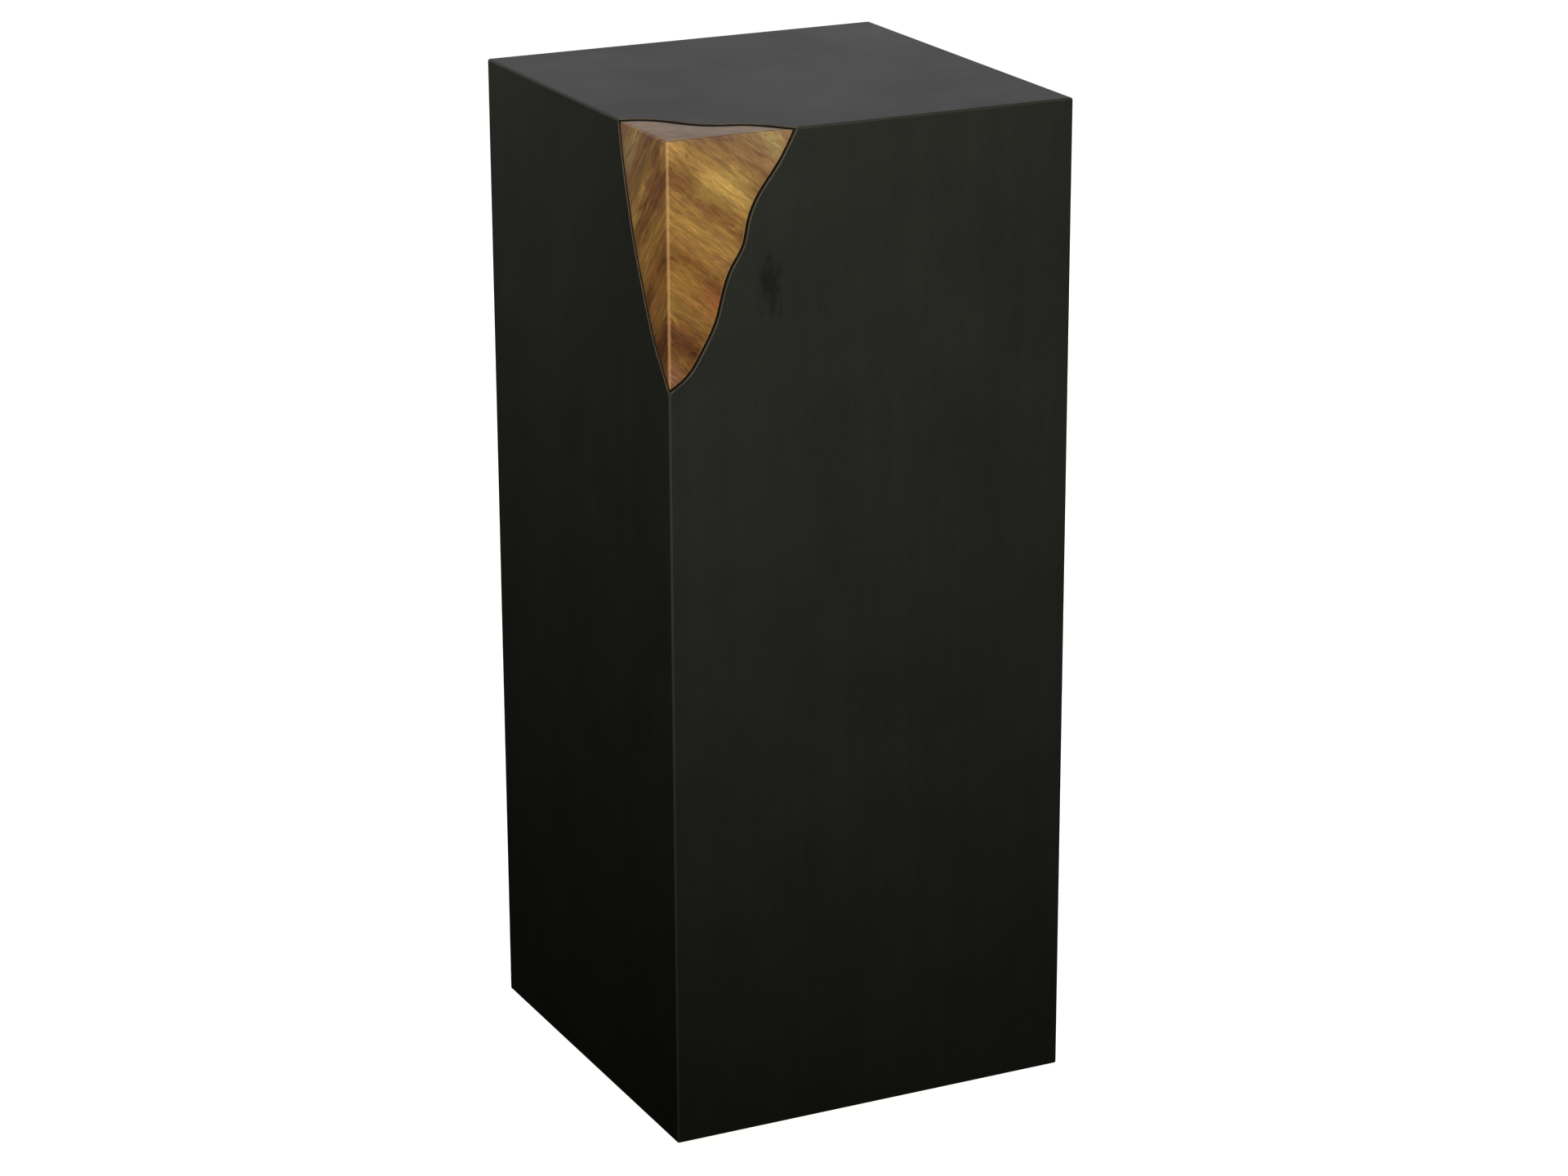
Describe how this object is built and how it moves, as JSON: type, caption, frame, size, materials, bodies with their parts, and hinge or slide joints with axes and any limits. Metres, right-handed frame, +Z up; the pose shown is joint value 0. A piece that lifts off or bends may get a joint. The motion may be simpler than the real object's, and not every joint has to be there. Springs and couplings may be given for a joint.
{
  "type": "display plinth",
  "caption": "Tall square box plinth in black-stained mitred boards, with a natural wood block let into one top corner along a hand-cut line, on screw-in levelling feet.",
  "frame": {"origin": "on the floor under the middle of the plinth", "axes": "+Z up; the wide display side in the picture faces -Y and its narrow side faces -X, so the wood block is at -X, -Y and the top"},
  "size_m": [0.34, 0.34, 0.803],
  "materials": {
    "black_stained_wood": "matt black stain under a thin matt lacquer, fine pores",
    "natural_wood": "planed and lightly oiled, satin",
    "plywood": "sanded birch plywood, unfinished",
    "softwood": "planed pine, unfinished",
    "zinc_plated_steel": "bright zinc plating",
    "black_nylon": "moulded, satin"
  },
  "bodies": {
    "casing": {"front_wall": "black_stained_wood", "left_wall": "black_stained_wood", "back_wall": "black_stained_wood", "right_wall": "black_stained_wood", "top_panel": "black_stained_wood", "corner_block": "natural_wood", "mitre_spline_front_left": "plywood", "mitre_spline_front_right": "plywood", "mitre_spline_back_left": "plywood", "mitre_spline_back_right": "plywood", "mitre_spline_top_front": "plywood", "mitre_spline_top_left": "plywood", "mitre_spline_top_back": "plywood", "mitre_spline_top_right": "plywood", "front_backer": "plywood", "left_backer": "plywood", "top_backer": "plywood", "base_panel": "plywood", "base_cleat_front": "softwood", "base_cleat_left": "softwood", "base_cleat_back": "softwood", "base_cleat_right": "softwood", "top_cleat_front": "softwood", "top_cleat_left": "softwood", "top_cleat_back": "softwood", "top_cleat_right": "softwood", "corner_batten_front_left": "softwood", "corner_batten_front_right": "softwood", "corner_batten_back_left": "softwood", "corner_batten_back_right": "softwood", "base_screws": "zinc_plated_steel", "base_cleat_screws": "zinc_plated_steel", "top_cleat_screws": "zinc_plated_steel", "backer_screws": "zinc_plated_steel", "block_screws": "zinc_plated_steel", "insert_nuts": "zinc_plated_steel"},
    "foot_front_left": {"foot_front_left": "black_nylon"},
    "stud_front_left": {"foot_stud_front_left": "zinc_plated_steel"},
    "foot_front_right": {"foot_front_right": "black_nylon"},
    "stud_front_right": {"foot_stud_front_right": "zinc_plated_steel"},
    "foot_back_left": {"foot_back_left": "black_nylon"},
    "stud_back_left": {"foot_stud_back_left": "zinc_plated_steel"},
    "foot_back_right": {"foot_back_right": "black_nylon"},
    "stud_back_right": {"foot_stud_back_right": "zinc_plated_steel"}
  },
  "joints": [
    {"name": "foot_front_left_extend", "type": "slide", "parent": "casing", "child": "foot_front_left", "axis": [0, 0, -1], "range_m": [0, 0.018]},
    {"name": "stud_front_left_turn", "type": "hinge", "parent": "foot_front_left", "child": "stud_front_left", "pos_m": [-0.108, -0.108, 0.012], "axis": [0, 0, -1], "range_deg": [0, 5184]},
    {"name": "foot_front_right_extend", "type": "slide", "parent": "casing", "child": "foot_front_right", "axis": [0, 0, -1], "range_m": [0, 0.018]},
    {"name": "stud_front_right_turn", "type": "hinge", "parent": "foot_front_right", "child": "stud_front_right", "pos_m": [0.108, -0.108, 0.012], "axis": [0, 0, -1], "range_deg": [0, 5184]},
    {"name": "foot_back_left_extend", "type": "slide", "parent": "casing", "child": "foot_back_left", "axis": [0, 0, -1], "range_m": [0, 0.018]},
    {"name": "stud_back_left_turn", "type": "hinge", "parent": "foot_back_left", "child": "stud_back_left", "pos_m": [-0.108, 0.108, 0.012], "axis": [0, 0, -1], "range_deg": [0, 5184]},
    {"name": "foot_back_right_extend", "type": "slide", "parent": "casing", "child": "foot_back_right", "axis": [0, 0, -1], "range_m": [0, 0.018]},
    {"name": "stud_back_right_turn", "type": "hinge", "parent": "foot_back_right", "child": "stud_back_right", "pos_m": [0.108, 0.108, 0.012], "axis": [0, 0, -1], "range_deg": [0, 5184]}
  ],
  "couplings": [
    {"joint": "stud_front_left_turn", "follows": "foot_front_left_extend", "rad_per_m": 5026.5},
    {"joint": "stud_front_right_turn", "follows": "foot_front_right_extend", "rad_per_m": 5026.5},
    {"joint": "stud_back_left_turn", "follows": "foot_back_left_extend", "rad_per_m": 5026.5},
    {"joint": "stud_back_right_turn", "follows": "foot_back_right_extend", "rad_per_m": 5026.5}
  ]
}
